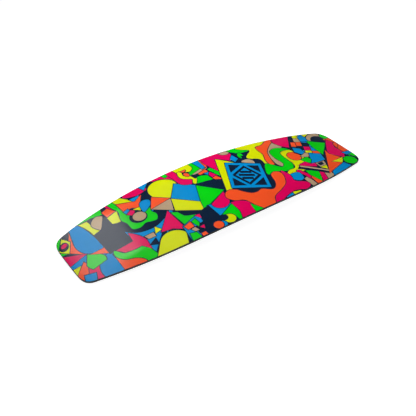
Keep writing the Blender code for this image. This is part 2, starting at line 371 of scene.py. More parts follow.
def outward_at(points, edges):
    """Unit vectors out of the region at the points of its border."""
    total = {}
    for a, b in edges:
        along = (points[b] - points[a]).normalized()
        for v in (a, b):
            total[v] = total.get(v, Vector((0, 0))) + Vector((along.y, -along.x))
    return {v: direction.normalized() for v, direction in total.items()}


def layer_mesh(name, points, triangles, looks, top, bottom, rim_look=0):
    """A thin closed sheet between two surfaces, with rounded rims and exact normals.

    looks is the material number of each triangle on top.
    """
    aside = 0.02  # normals are taken this far towards a triangle's middle, to keep creases sharp
    border = open_edges(triangles)
    outward = outward_at(points, border)
    count = len(points)
    rim = {v: i for i, v in enumerate(sorted(outward))}
    verts = [(p.x, p.y, top(p.x, p.y)) for p in points]
    verts += [(p.x, p.y, bottom(p.x, p.y)) for p in points]
    for surface, drop in ((top, -RIM_ROUND), (bottom, RIM_ROUND)):
        for v in rim:
            p = points[v] + RIM_ROUND * outward[v]
            verts.append((p.x, p.y, surface(p.x, p.y) + drop))
    faces, normals, materials = [], [], []
    for tri, look in zip(triangles, looks):
        middle = sum((points[v] for v in tri), Vector((0, 0))) / 3
        for surface, sign in ((top, 1), (bottom, -1)):
            ring = tri if sign > 0 else tri[::-1]
            near = [points[v].lerp(middle, aside) for v in ring]
            faces.append([v if sign > 0 else v + count for v in ring])
            normals += [sign * surface_normal(surface, p.x, p.y) for p in near]
            materials.append(look if sign > 0 else rim_look)
    for a, b in border:
        levels = [
            [(v, surface_normal(top, *points[v])) for v in (a, b)],
            [(2 * count + rim[v], outward[v].to_3d()) for v in (a, b)],
            [(2 * count + len(rim) + rim[v], outward[v].to_3d()) for v in (a, b)],
            [(v + count, -surface_normal(bottom, *points[v])) for v in (a, b)],
        ]
        for (a1, b1), (a2, b2) in zip(levels, levels[1:]):
            quad = (a1, a2, b2, b1)
            faces.append([v for v, _ in quad])
            normals += [n for _, n in quad]
            materials.append(rim_look)
    mesh = new_mesh(name, verts, faces)
    mesh.polygons.foreach_set("material_index", materials)
    mesh.shade_smooth()
    mesh.normals_split_custom_set(normals)
    return mesh


def loft_mesh(name, rings, first_cap, last_cap):
    """A closed body through rings of points, anticlockwise about the way from the last ring to the first.

    A cap is (extra points, faces): numbers below the ring's length are its own points, the rest are extra.
    """
    size = len(rings[0])
    verts = [point for ring in rings for point in ring]
    faces = []
    for k in range(len(rings) - 1):
        for i in range(size):
            j = (i + 1) % size
            faces.append([k * size + i, (k + 1) * size + i, (k + 1) * size + j, k * size + j])
    for (extra, cap), base, step in ((first_cap, 0, 1), (last_cap, (len(rings) - 1) * size, -1)):
        offset = len(verts) - size
        verts += extra
        faces += [[base + v if v < size else offset + v for v in face][::step] for face in cap]
    mesh = new_mesh(name, verts, faces)
    mesh.shade_smooth()
    mesh.set_sharp_from_angle(angle=CREASE)
    return mesh


def flat_cap(count):
    """One face over a ring of count points."""
    return [], [list(range(count))]


def add_piece(node, mesh, slot, looks):
    """An object that stands for a CAD node. Pieces may share a mesh, which gets its looks once."""
    piece = add_object(f"{node}_fine", mesh)
    if not mesh.materials:
        for look in looks:
            mesh.materials.append(look)
    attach(piece, "root")
    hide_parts(node)
    return piece


# ---- the print's shapes, in centimetres ----


def spun(points, x, y, turn):
    """Points moved to (x, y) after a turn in degrees."""
    cos, sin = math.cos(math.radians(turn)), math.sin(math.radians(turn))
    return [Vector((x + px * cos - py * sin, y + px * sin + py * cos)) * CM for px, py in points]


def shape(*corners):
    """Straight sides between corners. A third value bows the side after its corner outwards, by that share
    of half the side's length."""
    places = [Vector(corner[:2]) for corner in corners]
    turn = sum(a.cross(b) for a, b in edges_of(places))
    loop = []
    for corner, (start, end) in zip(corners, edges_of(places)):
        loop.append(start * CM)
        if len(corner) == 3:
            loop += arc_points(start, end, math.copysign(corner[2], turn * corner[2]))
    return loop


def arc_points(start, end, bow):
    """The points between the ends of an arc."""
    chord = end - start
    out = Vector((chord.y, -chord.x)) / 2
    sweep = 4 * math.atan(bow)
    centre = (start + end) / 2 - out / math.tan(sweep / 2)
    count = math.ceil(abs(sweep) / ARC_STEP)
    arm = start - centre
    return [(centre + Matrix.Rotation(sweep * i / count, 2) @ arm) * CM for i in range(1, count)]


def oval(x, y, length, width, turn=0):
    angles = steps(0, 2 * math.pi, round(2 * math.pi / ARC_STEP))
    return spun([(length / 2 * math.cos(a), width / 2 * math.sin(a)) for a in angles], x, y, turn)


def disc(x, y, radius):
    return oval(x, y, 2 * radius, 2 * radius)


def half_disc(x, y, radius, turn):
    """Its flat side runs through (x, y), and it bulges up before it is turned."""
    angles = steps(0, math.pi, round(math.pi / ARC_STEP)) + [math.pi]
    return spun([(radius * math.cos(a), radius * math.sin(a)) for a in angles], x, y, turn)


def stretch(points, i, closed):
    """The four points around the stretch of a curve that starts at point i."""
    last = len(points) - 1
    numbers = range(i - 1, i + 3)
    return [Vector(points[n % len(points) if closed else min(max(n, 0), last)]) for n in numbers]


def smooth_path(points, closed):
    """Points along a curve through the given ones."""
    path = []
    for i in range(len(points) if closed else len(points) - 1):
        a, b, c, d = stretch(points, i, closed)
        for t in steps(0, 1, max(2, round((c - b).length / CURVE_STEP))):
            bend = (2 * a - 5 * b + 4 * c - d) * t * t
            path.append(0.5 * (2 * b + (c - a) * t + bend + (3 * b - a - 3 * c + d) * t**3))
    return path if closed else path + [Vector(points[-1])]


def blob(*points):
    """A smooth closed shape through the points."""
    return [p * CM for p in smooth_path(points, True)]


def ribbon(width, *points):
    """A band of constant width along a smooth curve, with round ends."""
    path = smooth_path(points, False)
    ways = [(path[min(i + 1, len(path) - 1)] - path[max(i - 1, 0)]).normalized() for i in range(len(path))]
    left = [p + Vector((-w.y, w.x)) * width / 2 for p, w in zip(path, ways)]
    right = [p - Vector((-w.y, w.x)) * width / 2 for p, w in zip(path, ways)]
    count = round(math.pi / ARC_STEP)
    ends = []
    for tip, way, sign in ((path[-1], ways[-1], 1), (path[0], ways[0], -1)):
        start = Vector((way.y, -way.x)) * width / 2 * sign
        ends.append([tip + Matrix.Rotation(angle, 2) @ start for angle in steps(0, math.pi, count)[1:]])
    return [p * CM for p in right + ends[0] + left[::-1] + ends[1]]


def anticlockwise(loop):
    area = sum(a.cross(b) for a, b in edges_of(loop))
    return loop if area > 0 else loop[::-1]


def grown(loop, width):
    """The loop moved out by a width, with its sharp corners held back."""
    reach = 2  # widths, which a sharp corner may move
    result = []
    for before, here, after in corners_of(loop):
        first, second = (here - before).normalized(), (after - here).normalized()
        out = (Vector((first.y, -first.x)) + Vector((second.y, -second.x))) / 2
        result.append(here + out * width / max(out.length_squared, 1 / reach**2))
    return result


# ---- materials ----


class Look:
    """A material, with short ways to add the nodes that the materials share."""

    def __init__(self, name, **sockets):
        self.material = bpy.data.materials.new(name)
        self.material.use_nodes = True
        self.tree = self.material.node_tree
        self.shader = self.tree.nodes["Principled BSDF"]
        for socket, value in sockets.items():
            self.shader.inputs[socket.replace("_", " ")].default_value = value
        self.place = self.add("ShaderNodeTexCoord").outputs["Object"]

    def add(self, kind, inputs=None, **settings):
        return add_node(self.tree, kind, inputs, **settings)

    def feed(self, socket, output):
        self.tree.links.new(output, self.shader.inputs[socket])

    def stretched(self, *scale):
        return self.add("ShaderNodeMapping", {"Vector": self.place, "Scale": scale}).outputs["Vector"]

    def noise(self, scale, detail=2.0, place=None, low=0.0, high=1.0, seed=0.0):
        """Noise between two values. scale is in waves per metre."""
        middle = (0.3, 0.7)  # nearly all of the noise lies in here
        field = self.add(
            "ShaderNodeTexNoise",
            {"Vector": place or self.place, "W": seed, "Scale": scale, "Detail": detail},
            noise_dimensions="4D",
        )
        return self.spread(field.outputs["Fac"], *middle, low, high)

    def spread(self, value, start, end, low, high):
        names = ("Value", "From Min", "From Max", "To Min", "To Max")
        inputs = dict(zip(names, (value, start, end, low, high)))
        return self.add("ShaderNodeMapRange", inputs).outputs["Result"]

    def maths(self, operation, first, second):
        return self.add("ShaderNodeMath", {0: first, 1: second}, operation=operation).outputs["Value"]

    def tinted(self, colour, *factors):
        """A colour, or a colour output, times each of the factors."""
        for factor in factors:
            node = self.add("ShaderNodeVectorMath", {0: colour, "Scale": factor}, operation="SCALE")
            colour = node.outputs["Vector"]
        return colour

    def mixed(self, share, first, second):
        """A mix of two colours. The node's sockets 6 and 7 are the colours, and 2 is the mixed colour."""
        inputs = {0: share, 6: (*first, 1.0), 7: (*second, 1.0)}
        return self.add("ShaderNodeMix", inputs, data_type="RGBA").outputs[2]

    def bump(self, height, depth, normal=None):
        """Bumps of a depth in metres from a height between 0 and 1."""
        inputs = {"Height": height, "Distance": depth, "Strength": 1.0}
        if normal is not None:
            inputs["Normal"] = normal
        return self.add("ShaderNodeBump", inputs).outputs["Normal"]


def linear(red, green, blue):
    """An sRGB colour of 0 to 255 as linear light."""
    shares = [value / 255 for value in (red, green, blue)]
    return tuple(c / 12.92 if c <= 0.04045 else ((c + 0.055) / 1.055) ** 2.4 for c in shares)


def ink_look(name, colour, speckle, shine):
    """Ink under the base's gloss film: mottled, finely grained, with hairline marks along the board."""
    look = Look(name, IOR=1.45, Specular_IOR_Level=shine)
    mottle = look.noise(9, 3, low=0.95, high=1.04, seed=1)
    grain = look.noise(900, 1, low=1 - speckle, high=1 + speckle, seed=2)
    look.feed("Base Color", look.tinted(colour, mottle, grain))
    rubbed = look.noise(1, 4, look.stretched(5, 260, 260), low=0.10, high=0.16, seed=3)
    look.feed("Roughness", rubbed)
    film = look.noise(45, 2, seed=4)
    hairlines = look.noise(1, 3, look.stretched(8, 700, 700), seed=5)
    look.feed("Normal", look.bump(hairlines, 0.000004, look.bump(film, 0.00008)))
    return look.material


def cut_edge_look():
    """The milled edge of the base sheet and of the laminate under it, stained by dark resin."""
    look = Look("cut_edge", Roughness=0.5)
    streaks = look.noise(1, 3, look.stretched(30, 30, 1500), low=0.6, high=1.5)
    look.feed("Base Color", look.tinted(linear(17, 18, 24), streaks))
    look.feed("Normal", look.bump(streaks, 0.00002))
    return look.material


def urethane_look():
    """Black sidewall, milled along its length and then sanded."""
    look = Look("sanded_urethane", Specular_IOR_Level=0.08)
    cloud = look.noise(30, 3, low=0.8, high=1.25)
    milled = look.noise(1, 4, look.stretched(12, 12, 1800), seed=1)
    scuffs = look.noise(160, 4, seed=2)
    look.feed("Base Color", look.tinted(linear(12, 13, 16), cloud, look.spread(scuffs, 0, 1, 0.85, 1.2)))
    look.feed("Roughness", look.spread(milled, 0, 1, 0.34, 0.55))
    look.feed("Normal", look.bump(milled, 0.00003, look.bump(scuffs, 0.00004)))
    return look.material


def glass_look():
    """Resin-filled glass cloth, in a plain weave."""
    look = Look("glass_cloth", Specular_IOR_Level=0.5, Roughness=0.35)
    yarns = 420  # in a metre
    bands = 20 / (2 * math.pi)  # that the wave texture draws in a metre, at a scale of 1
    across, along = (
        look.add(
            "ShaderNodeTexWave",
            {"Vector": look.place, "Scale": yarns / bands, "Distortion": 0.6, "Detail": 1.0},
            bands_direction=direction,
        ).outputs["Fac"]
        for direction in "XY"
    )
    weave = look.maths("MULTIPLY", across, along)
    cloud = look.noise(25, 3, low=0.85, high=1.1)
    cloth = look.mixed(weave, linear(150, 158, 128), linear(205, 212, 186))
    look.feed("Base Color", look.tinted(cloth, cloud))
    look.feed("Normal", look.bump(weave, 0.00006))
    return look.material


def wood_look(name, early, late, rings, seed):
    """Wood with its grain along the board."""
    look = Look(name, Specular_IOR_Level=0.3)
    wander = look.noise(1, 2, look.stretched(1.2, 14, 14), seed=seed)
    place = look.add(
        "ShaderNodeVectorMath", {0: look.stretched(0.6, rings, rings), 1: wander}, operation="ADD"
    ).outputs["Vector"]
    grain = look.noise(1, 5, place, seed=seed + 1)
    pores = look.noise(1, 3, look.stretched(40, 1600, 1600), low=0.85, high=1.08, seed=seed + 2)
    look.feed("Base Color", look.tinted(look.mixed(grain, early, late), pores))
    look.feed("Roughness", look.spread(grain, 0, 1, 0.55, 0.75))
    look.feed("Normal", look.bump(pores, 0.00005))
    return look.material


def deck_look():
    """Satin deck film with a fine moulded pebble grain, with painted shade darkening the hollows between
    the pebbles.
    """
    look = Look("deck_film", Specular_IOR_Level=0.4)
    cells = look.add("ShaderNodeTexVoronoi", {"Vector": look.place, "Scale": 650.0}).outputs["Distance"]
    pebbles = look.spread(cells, 0.0, 0.6, 1, 0)
    cloud = look.noise(12, 4, low=0.85, high=1.2)
    # painted shade: the same pebble height as the bump makes the colour darker in the hollows between the
    # pebbles and lighter on their tops
    look.feed("Base Color", look.tinted(linear(38, 42, 54), cloud, look.spread(pebbles, 0, 1, 0.85, 1.15)))
    look.feed("Roughness", look.noise(60, 4, low=0.38, high=0.52, seed=1))
    look.feed("Normal", look.bump(pebbles, 0.00006))
    return look.material


def steel_look():
    """Zinc-plated steel, turned."""
    look = Look("zinc_plate", Metallic=1.0)
    cloud = look.noise(300, 3, low=0.85, high=1.1)
    turned = look.noise(1, 2, look.stretched(200, 200, 9000), seed=1)
    look.feed("Base Color", look.tinted(linear(206, 202, 190), cloud))
    look.feed("Roughness", look.spread(turned, 0, 1, 0.22, 0.4))
    look.feed("Normal", look.bump(turned, 0.00001))
    return look.material


# ---- the base's print ----

INKS = {  # colour, depth of the grain and strength of the shine
    "navy": (linear(12, 33, 58), 0.10, 0.5),
    "yellow": (linear(222, 232, 0), 0.03, 0.5),
    "magenta": (linear(230, 0, 92), 0.03, 0.35),
    "orange": (linear(255, 87, 38), 0.03, 0.5),
    "green": (linear(0, 216, 16), 0.03, 0.5),
    "blue": (linear(0, 143, 213), 0.03, 0.25),
    "tan": (linear(190, 163, 130), 0.10, 0.5),
}


def panel_patches():
    """The square panel by the middle, which has a plain geometric motif."""
    yield "navy", blob((2.6, -4.4), (6, -9), (8.6, -12.2), (13.6, -12.2), (17, -14), (20, -12.6),
        (23.6, -5.6), (25.6, 2.6), (14, 4))
    yield "yellow", (10.4, 17.8), (0.8, -4.4), (4, -4.3), (12, 13.4), (18, 8.2)
    corners = [Vector(corner) for corner in ((12.1, 13), (24.8, 4.4), (17.8, -12.3), (3.8, -3.9))]
    yield "blue", *corners
    centre = sum(corners, Vector((0, 0))) / 4
    yield from panel_corners(corners, centre)
    yield from panel_diamond(corners, centre)


def panel_corners(corners, centre):
    """A dark triangle in each corner of the panel."""
    margin = 0.2  # as a share of the way to the centre
    side = 0.28  # as a share of the panel's side
    for before, corner, after in corners_of(corners):
        tip = corner.lerp(centre, margin)
        yield "navy", tip, tip + (after - corner) * side, tip + (before - corner) * side


def panel_diamond(corners, centre):
    """A dark diamond frame with three bars. Its sizes are shares of the panel, the bars' of the frame."""
    size, opening = 0.74, 0.8
    bar_places, bar_length, taper, bar_width = (-0.17, 0, 0.17), 0.26, 0.5, 0.035
    diamond = [centre.lerp((a + b) / 2, size) for a, b in edges_of(corners)]
    yield "navy", *diamond
    yield "blue", *(centre.lerp(tip, opening) for tip in diamond)
    along, across = diamond[0] - diamond[2], diamond[1] - diamond[3]
    for share in bar_places:
        middle = centre + along * share
        reach = across * (bar_length - taper * abs(share))
        half = along * bar_width
        start, end = middle - reach, middle + reach
        yield "navy", start - half, end - half, end + half, start + half


def nose_checks():
    """Skewed squares in leaning columns."""
    columns = (
        ((45.6, 2.4), ("blue", "navy", "orange", "tan", "yellow")),
        ((48.3, 0.6), ("yellow", "magenta", "navy", "blue", "blue")),
        ((51, -1.2), ("orange", "blue", "blue")),
    )
    across, along = Vector((2.8, -1.6)), Vector((1.7, 3.2))
    for start, inks in columns:
        for row, ink in enumerate(inks):
            corner = Vector(start) + along * row
            yield ink, corner, corner + across, corner + across + along, corner + along


# The patches of ink, from the lowest to the one printed over all the others. A row is an ink and either the
# corners that shape() takes or a loop of another kind.
TAIL = [
    ("blue", (-72, -1), (-52, -1), (-46, -24), (-72, -24)),
    ("magenta", (-65.5, -5), (-60.5, -4), (-58.5, -17), (-66, -16)),
    ("blue", (-59, -7.6), (-54, -5), (-54, -20), (-59, -20, 0.35)),
    ("orange", (-64, -3.6), (-70, -9.4), (-68, -13.4), (-65, -9.6), (-63.4, -5.4)),
    ("yellow", (-70, -4.6), (-65.6, -4.6), (-69.6, -9)),
    ("blue", (-66.8, -9.8), (-62.8, -11.4), (-64.4, -15.4), (-68, -13.4)),
    ("orange", (-60, 17.5), (-66.4, 4.8), (-61.5, -0.8), (-54, -1.8), (-54.2, 2), (-58, 17.5)),
    ("blue", blob((-60, 17.6), (-57, 17), (-55.4, 10), (-54.6, 3), (-54.9, -1.9), (-58, -2), (-61.4, 0),
        (-62.9, 4.6), (-62, 10.6))),
    ("magenta", (-72, 5.8), (-61.2, -0.4), (-72, -3)),
    ("green", (-61.2, -1), (-63.8, -6, 0.15), (-62.8, -9.2), (-56.8, -8.2, 0.4), (-58, -3.6)),
    ("orange", (-60.3, -1.8), (-54, -2.2), (-54.2, -6)),
    ("green", (-72, 6), (-69, 15.4), (-65.6, 14.8), (-66.8, 4.4)),
    ("yellow", (-68.9, 7.4), (-65.2, 13.6), (-63.2, 9.8), (-66.2, 4.2)),
    ("navy", oval(-66.3, 8.8, 4.4, 3.2, 60)),
    ("magenta", oval(-66, 9.3, 3, 2, 30)),
    ("yellow", (-56.6, 16), (-53, 15.6), (-52.6, 9.6), (-50.4, 7), (-54.4, 6.6, -0.1)),
    ("green", (-60, 19), (-57.6, 16.4), (-51, 16.4), (-46.2, 15.2), (-45.6, 19), (-50, 22)),
    ("tan", (-46.2, 13.4, 0.2), (-49, 15.7, 0.3), (-52.8, 11.8, 0.15), (-51, 7.5)),
    ("navy", (-54.4, 6.4), (-54.2, -6.4), (-44.5, -6.4), (-44.5, 5.6), (-46, 15), (-50.4, 7.4)),
    ("magenta", (-43.4, 20), (-43.2, 17.2), (-41.4, 13.4), (-41.8, 20)),
    ("orange", (-46, 16.4), (-43.2, 17.2), (-41.4, 13.4), (-45.7, 12.2)),
    ("yellow", (-45.9, 11.8), (-41, 13), (-42.8, 6), (-45.8, 7.4)),
]

TAIL_BINDING = [  # around the inserts' area at the tail
    ("blue", (-44.4, 1), (-38, 1), (-25, 6), (-23.5, -2), (-41.6, -22), (-44, -12)),
    ("navy", (-41.6, -18.6), (-29, -5.4), (-28.2, -6.2), (-41, -20)),
    ("orange", (-53.6, -8), (-51, -13), (-46, -16), (-42, -22), (-54.2, -22)),
    ("green", blob((-52.6, -6.4), (-53.4, -9.4), (-51.4, -12.8), (-47.6, -14.8), (-45.2, -17.6),
        (-44.6, -22), (-40.4, -22), (-41.2, -14.6), (-43, -11.2), (-47, -10.8), (-50.2, -9.8))),
    ("magenta", (-51.8, -6.7), (-44.4, -6.5), (-43.8, -1.4, 0.15), (-40, -9), (-40.8, -14.6),
        (-43, -10.8, 0.1), (-49.6, -9.8)),
    ("navy", blob((-44.6, 6), (-41, 5.6), (-38, 4), (-30, 3), (-27.6, 5.4), (-24.6, 0.4), (-28.6, -3),
        (-34, -4.9), (-39.4, -4), (-42.6, -1.6), (-44.8, 2))),
    ("green", blob((-42.2, 22), (-41.6, 16), (-40.7, 12), (-42.2, 7), (-41.3, 3.6), (-41.1, -0.6),
        (-38.2, -1.7), (-35.4, -0.7), (-33.2, -1.5), (-30.8, -1.7), (-29.4, 1), (-30.2, 4), (-29.6, 6.8),
        (-33, 6.6), (-36, 8.6), (-38.6, 10), (-39.2, 14), (-38.6, 22))),
    ("navy", disc(-35.9, 4.2, 3.3)),
    ("yellow", (-39.8, 21), (-36.8, 21), (-32.4, 13.8), (-35, 14.6), (-39.2, 17.4)),
    ("magenta", blob((-35, 18.8), (-33, 20.4), (-27, 20.4), (-24.4, 17.6), (-28.6, 16.2), (-32.4, 17))),
    ("blue", (-33.6, 15.8), (-29.2, 15.7), (-30.6, 13.2), (-32.6, 13.2)),
    ("orange", (-39.2, 16.9), (-34.6, 14.4), (-32.4, 13.2), (-28.2, 15.4), (-33, 8.6), (-35.2, 10.6),
        (-39, 10.8)),
    ("blue", (-39.2, 10.6), (-37, 11), (-36.6, 9), (-38.8, 8.8)),
    ("yellow", (-35.4, 9.4), (-32.2, 9), (-32.6, 6.2)),
    ("magenta", (-38.9, 8.3), (-36.4, 9.7), (-35.2, 8.4), (-36.9, 5.8)),
    ("tan", disc(-35.4, 4.2, 2.7)),
    ("blue", blob((-31.8, 10.4), (-29.4, 11.7), (-27.4, 10.4), (-28.2, 8), (-30, 6.4), (-32.8, 5.4))),
    ("tan", (-39.8, -7.2), (-36, -7.4), (-36.2, -9.8), (-39.2, -9.4)),
    ("yellow", (-35.7, -8.6), (-32.6, -8), (-34, -5)),
    ("navy", (-40.4, -12.6), (-37, -10.8), (-37.6, -14.2)),
    ("magenta", (-25.2, -0.2), (-33.6, -9.4), (-29, -10.5), (-25, -14)),
    ("yellow", (-41.6, -19.8), (-36.2, -13.2, 0.6), (-26.2, -15.4), (-29, -22), (-41, -22)),
]

MIDDLE = [
    ("navy", blob((-23.4, -1.6), (-21.8, -7), (-17, -10), (-12, -9.6), (-11, -5), (-20, 2))),
    ("green", (-24.7, -2), (-22.6, -3.4), (-21.6, -7, -0.1), (-17.4, -9.2), (-24.2, -11.8)),
    ("blue", (-27, 22), (-25.8, 17.4), (-21.6, 21.4), (-22, 23)),
    ("magenta", (-21, 22), (-19.6, 20, -0.35), (-12.6, 15), (-11, 22)),
    ("yellow", (-12.8, 12.6, 1.0), (-25.4, 13.6), (-25.2, 10.6), (-20, 5.4)),
    ("orange", (-25.8, 11.2), (-20, 5.8), (-29.8, 4.8)),
    ("tan", (-29.6, 4.6), (-20, 5.6), (-23, -1.4)),
    ("navy", (-8.4, 9), (-5, 7.4), (4.6, 5.4), (0.8, -2.8), (-7, 6.4)),
    ("blue", (-13.9, 12.9), (-7, 6.6), (-11.6, -3.6), (-19.8, 5.5)),
    ("yellow", (-20, 5.2), (-11.6, -3.8), (-13.4, -9), (-22.6, -2)),
    ("green", (-7.2, 6.2), (0.3, -3), (-13.2, -8.8), (-11.5, -3.7)),
]

SHOULDER = [  # along the heel edge, from the middle disc to the panel
    ("green", (-15.4, 23), (-14.6, 19), (-12.6, 19.4), (-12, 23)),
    ("magenta", blob((-12.6, 23), (-12.4, 16), (-11.6, 10.6), (-7.8, 8.3), (-6, 10.2), (-8.4, 13),
        (-9.2, 17), (-9, 23))),
    ("green", (-2, 23), (-2.4, 18), (-6.4, 13.6), (1.4, 13.6), (0.4, 23)),
    ("yellow", (-9.4, 23), (-8.6, 16.4), (-6.4, 17.4), (-4, 16.2, 0.3), (-1.4, 18.6), (-1.4, 23)),
    ("yellow", ribbon(1.9, (-8, 18), (-8.6, 14.6), (-5.4, 11.8), (-5.2, 10), (-6.2, 8.4))),
    ("orange", half_disc(-5.9, 18.6, 1.2, 180)),
    ("orange", oval(-6.2, 15, 2, 3, 10)),
    ("tan", (-4.2, 13.6), (0.6, 15), (3.6, 14), (0.6, 13.2), (-2.4, 12.6)),
    ("navy", (-5, 13), (-2.4, 12.8), (-3, 11.2), (-4.6, 10.8)),
    ("orange", (-2, 12.6), (2.4, 13.8), (2.4, 11.6), (-1.6, 11.4)),
    ("blue", (0.6, 23), (3.8, 23), (3.2, 15), (1.4, 14.4)),
    ("orange", (4, 23), (4.8, 23), (4.4, 16), (3.4, 13.6)),
    ("green", (-6, 7.2, -0.1), (-3.6, 10.8, 0.2), (0.6, 9.4), (1, 5.8)),
    ("blue", (0.2, 11.4), (2.4, 11.2), (1.4, 8.8)),
    ("magenta", (1.4, 9.4), (2.8, 11), (4.2, 7), (1.6, 6.6)),
    ("orange", (1.4, 6.6), (3.4, 7.2), (4.6, 3.6), (1.8, 5)),
    ("magenta", (4.8, 23), (4.4, 17), (6.2, 9.4), (10.8, 17.8), (15.4, 13), (18.6, 17), (18.8, 23)),
    ("green", (3, 13), (4.6, 13.4), (6.4, 8.4), (4.8, 6)),
    ("tan", half_disc(17, 21, 2.6, 180)),
    ("navy", blob((18.6, 15), (20, 18), (25, 17), (27.6, 14), (28, 7.4), (25.6, 4), (21.6, 7.6),
        (16, 10.6))),
    ("green", blob((19, 21), (24, 21), (24.4, 18.4), (27.4, 15.8), (24.6, 15.8), (22, 16.4), (20.4, 18))),
    ("blue", (15.8, 14), (18.4, 16.6), (19, 12.6), (16.6, 11.2)),
    ("green", blob((20.2, 13), (20.6, 15.4), (22.4, 16.4), (22.6, 13.6), (21.4, 14), (21, 12.2))),
    ("tan", half_disc(20.8, 7.6, 2.9, -40)),
]

TOE = [  # along the toe edge under the middle
    ("blue", (-11, -7.4), (-8.4, -8), (-2, -12), (-9, -15.6), (-11, -15.8)),
    ("magenta", (-9, -7.8), (-0.6, -3.8), (-2, -10, 0.3), (-6, -12.4, 0.5)),
    ("green", (-2, -12), (-9.4, -15.6), (-6, -18.4, -0.3), (-6.4, -24), (-1, -24)),
    ("magenta", (-4.8, -24), (-2.4, -18), (-2.4, -11.6, 0.3), (3.8, -15.6, 0.2), (2, -24)),
    ("green", (3.6, -16.6), (8, -24), (2.2, -24)),
    ("navy", (-17, -9.2), (-10.8, -7.8), (-10.8, -15.6), (-8.6, -17), (-13, -24), (-19.6, -24), (-19, -15)),
    ("yellow", disc(-8.2, -19, 2.4)),
    ("navy", disc(-9.9, -17.3, 1.4)),
    ("blue", disc(-12.6, -20.2, 2)),
    ("orange", disc(-13.9, -19.5, 2)),
    ("blue", (-25.6, -12), (-17, -9.4), (-17.8, -15), (-22, -23), (-27, -23)),
    ("navy", (-22, -15.4), (-17, -14.4), (-17.6, -22), (-22, -19)),
    ("orange", (-25.2, -12.4), (-21.8, -11.4), (-22, -14.6), (-24.8, -14.8)),
    ("green", (-21.4, -11.8), (-19.4, -11), (-19.2, -14), (-20.6, -15.8)),
    ("magenta", (-18.4, -9.4), (-16.4, -9.8), (-17, -12.4)),
    ("tan", (-23.8, -15.4), (-22, -15.2), (-21.4, -17.4), (-23, -17.2)),
    ("green", (-25.4, -17), (-23, -17.8), (-22.4, -23), (-27, -22.6)),
    ("magenta", (-20.4, -16.2), (-18.4, -16), (-19.2, -18)),
    ("orange", (-21.8, -19.4), (-20, -19.4), (-19.8, -23), (-22.4, -23)),
]

HEEL_NOSE = [
    ("yellow", blob((24.4, 21), (24.6, 18.6), (27.6, 15.6), (22.8, 11.2), (27, 7.4), (26.8, 3), (29, 4),
        (31.4, 10), (33, 15.8), (40.4, 18.6), (40, 21))),
    ("tan", blob((42.4, 16), (38, 15), (33.4, 10.6), (31.6, 4.6), (31, 0), (33, -2.6), (36, 2), (38, 9),
        (42.4, 11))),
    ("orange", blob((43.4, 20.4), (39, 19), (35.4, 16.9), (32, 16.7), (30.9, 14), (30.8, 10), (28.7, 5.4),
        (28.4, 2), (30, 0.8), (31, 4), (33.4, 10.2), (38, 14.6), (43, 18.2))),
    ("green", blob((26.4, 2.8), (22.4, -4), (27, -4), (31, -6), (34.6, -6), (37, -3), (37.4, 3),
        (38.4, 6.8), (41, 7.4), (44.2, 6.4), (42, 9.8), (38, 11.4), (34.6, 9.8), (33.5, 5), (33.8, -0.6),
        (31.4, -2.6), (29, 0.6))),
    ("yellow", blob((44.4, 6), (41.6, 7.6), (38.6, 7.2), (37.7, 4), (37.6, -2.4), (36, -5.8), (32, -6.4),
        (29.6, -9), (34, -9.6), (39.4, -9.2), (38, -6.4), (40, -4.4), (43.4, -4.2), (45.4, 0))),
    ("magenta", (42.6, 21), (41.3, 15.4, 0.2), (45.3, 8.8, 0.1), (52, 17), (53, 20)),
    ("orange", oval(42, 1.8, 5.8, 7)),
]

TOE_NOSE = [
    ("tan", (33.6, -14.6), (36, -13.8), (36.6, -24), (34, -24)),
    ("magenta", ribbon(1.9, (35.6, -8.8), (36.6, -12), (37, -15))),
    ("blue", blob((29.2, -9.4), (34.6, -9.4), (34.4, -13.4), (32, -14.8), (29.6, -13))),
    ("orange", (37, -15.4), (38, -14.4), (41.4, -21), (36.8, -24)),
    ("green", (38.4, -9.8), (43.8, -12.6), (39.8, -19.2), (38, -13.4)),
    ("tan", (44.8, -13.8), (48, -16), (46.4, -22), (41, -22)),
    ("magenta", (43.6, -12.8), (45, -13.8), (42, -22), (39, -22)),
    ("tan", (38, -6.4), (39.2, -5.6), (48.2, -14.2), (47.2, -15.2)),
    ("navy", (36.9, -7.2), (38, -6.4), (47.2, -15.2), (46.6, -16)),
]

TOE_WAVES = [  # the long wave of orange and the magenta on its toe side
    ("blue", (18.6, -19.6), (23.4, -19.4), (24, -24), (19.6, -24)),
    ("yellow", (23, -19.4), (26.6, -20), (29, -24), (23, -24)),
    ("magenta", blob((12, -21.6), (17, -16.4), (23, -14.4), (27, -9), (29, -4.8), (30.2, -9), (29.2, -13.8),
        (33, -16.6), (33.2, -19), (30, -20.4), (25, -19), (19, -20.4), (14, -23))),
    ("orange", blob((-1.9, -8), (-0.4, -5.2), (2, -4.4), (4.4, -5.6), (6.2, -8.6), (8.4, -11.2),
        (11, -11.8), (13.6, -11.2), (16.8, -13.6), (19.4, -13), (21.6, -10), (23.4, -5), (26, -3.9),
        (28, -5.8), (27, -9.4), (24.4, -13.2), (20, -15.8), (15, -18), (11.6, -23), (8, -23), (5, -18.4),
        (3.2, -13.4), (-0.2, -11.4))),
]

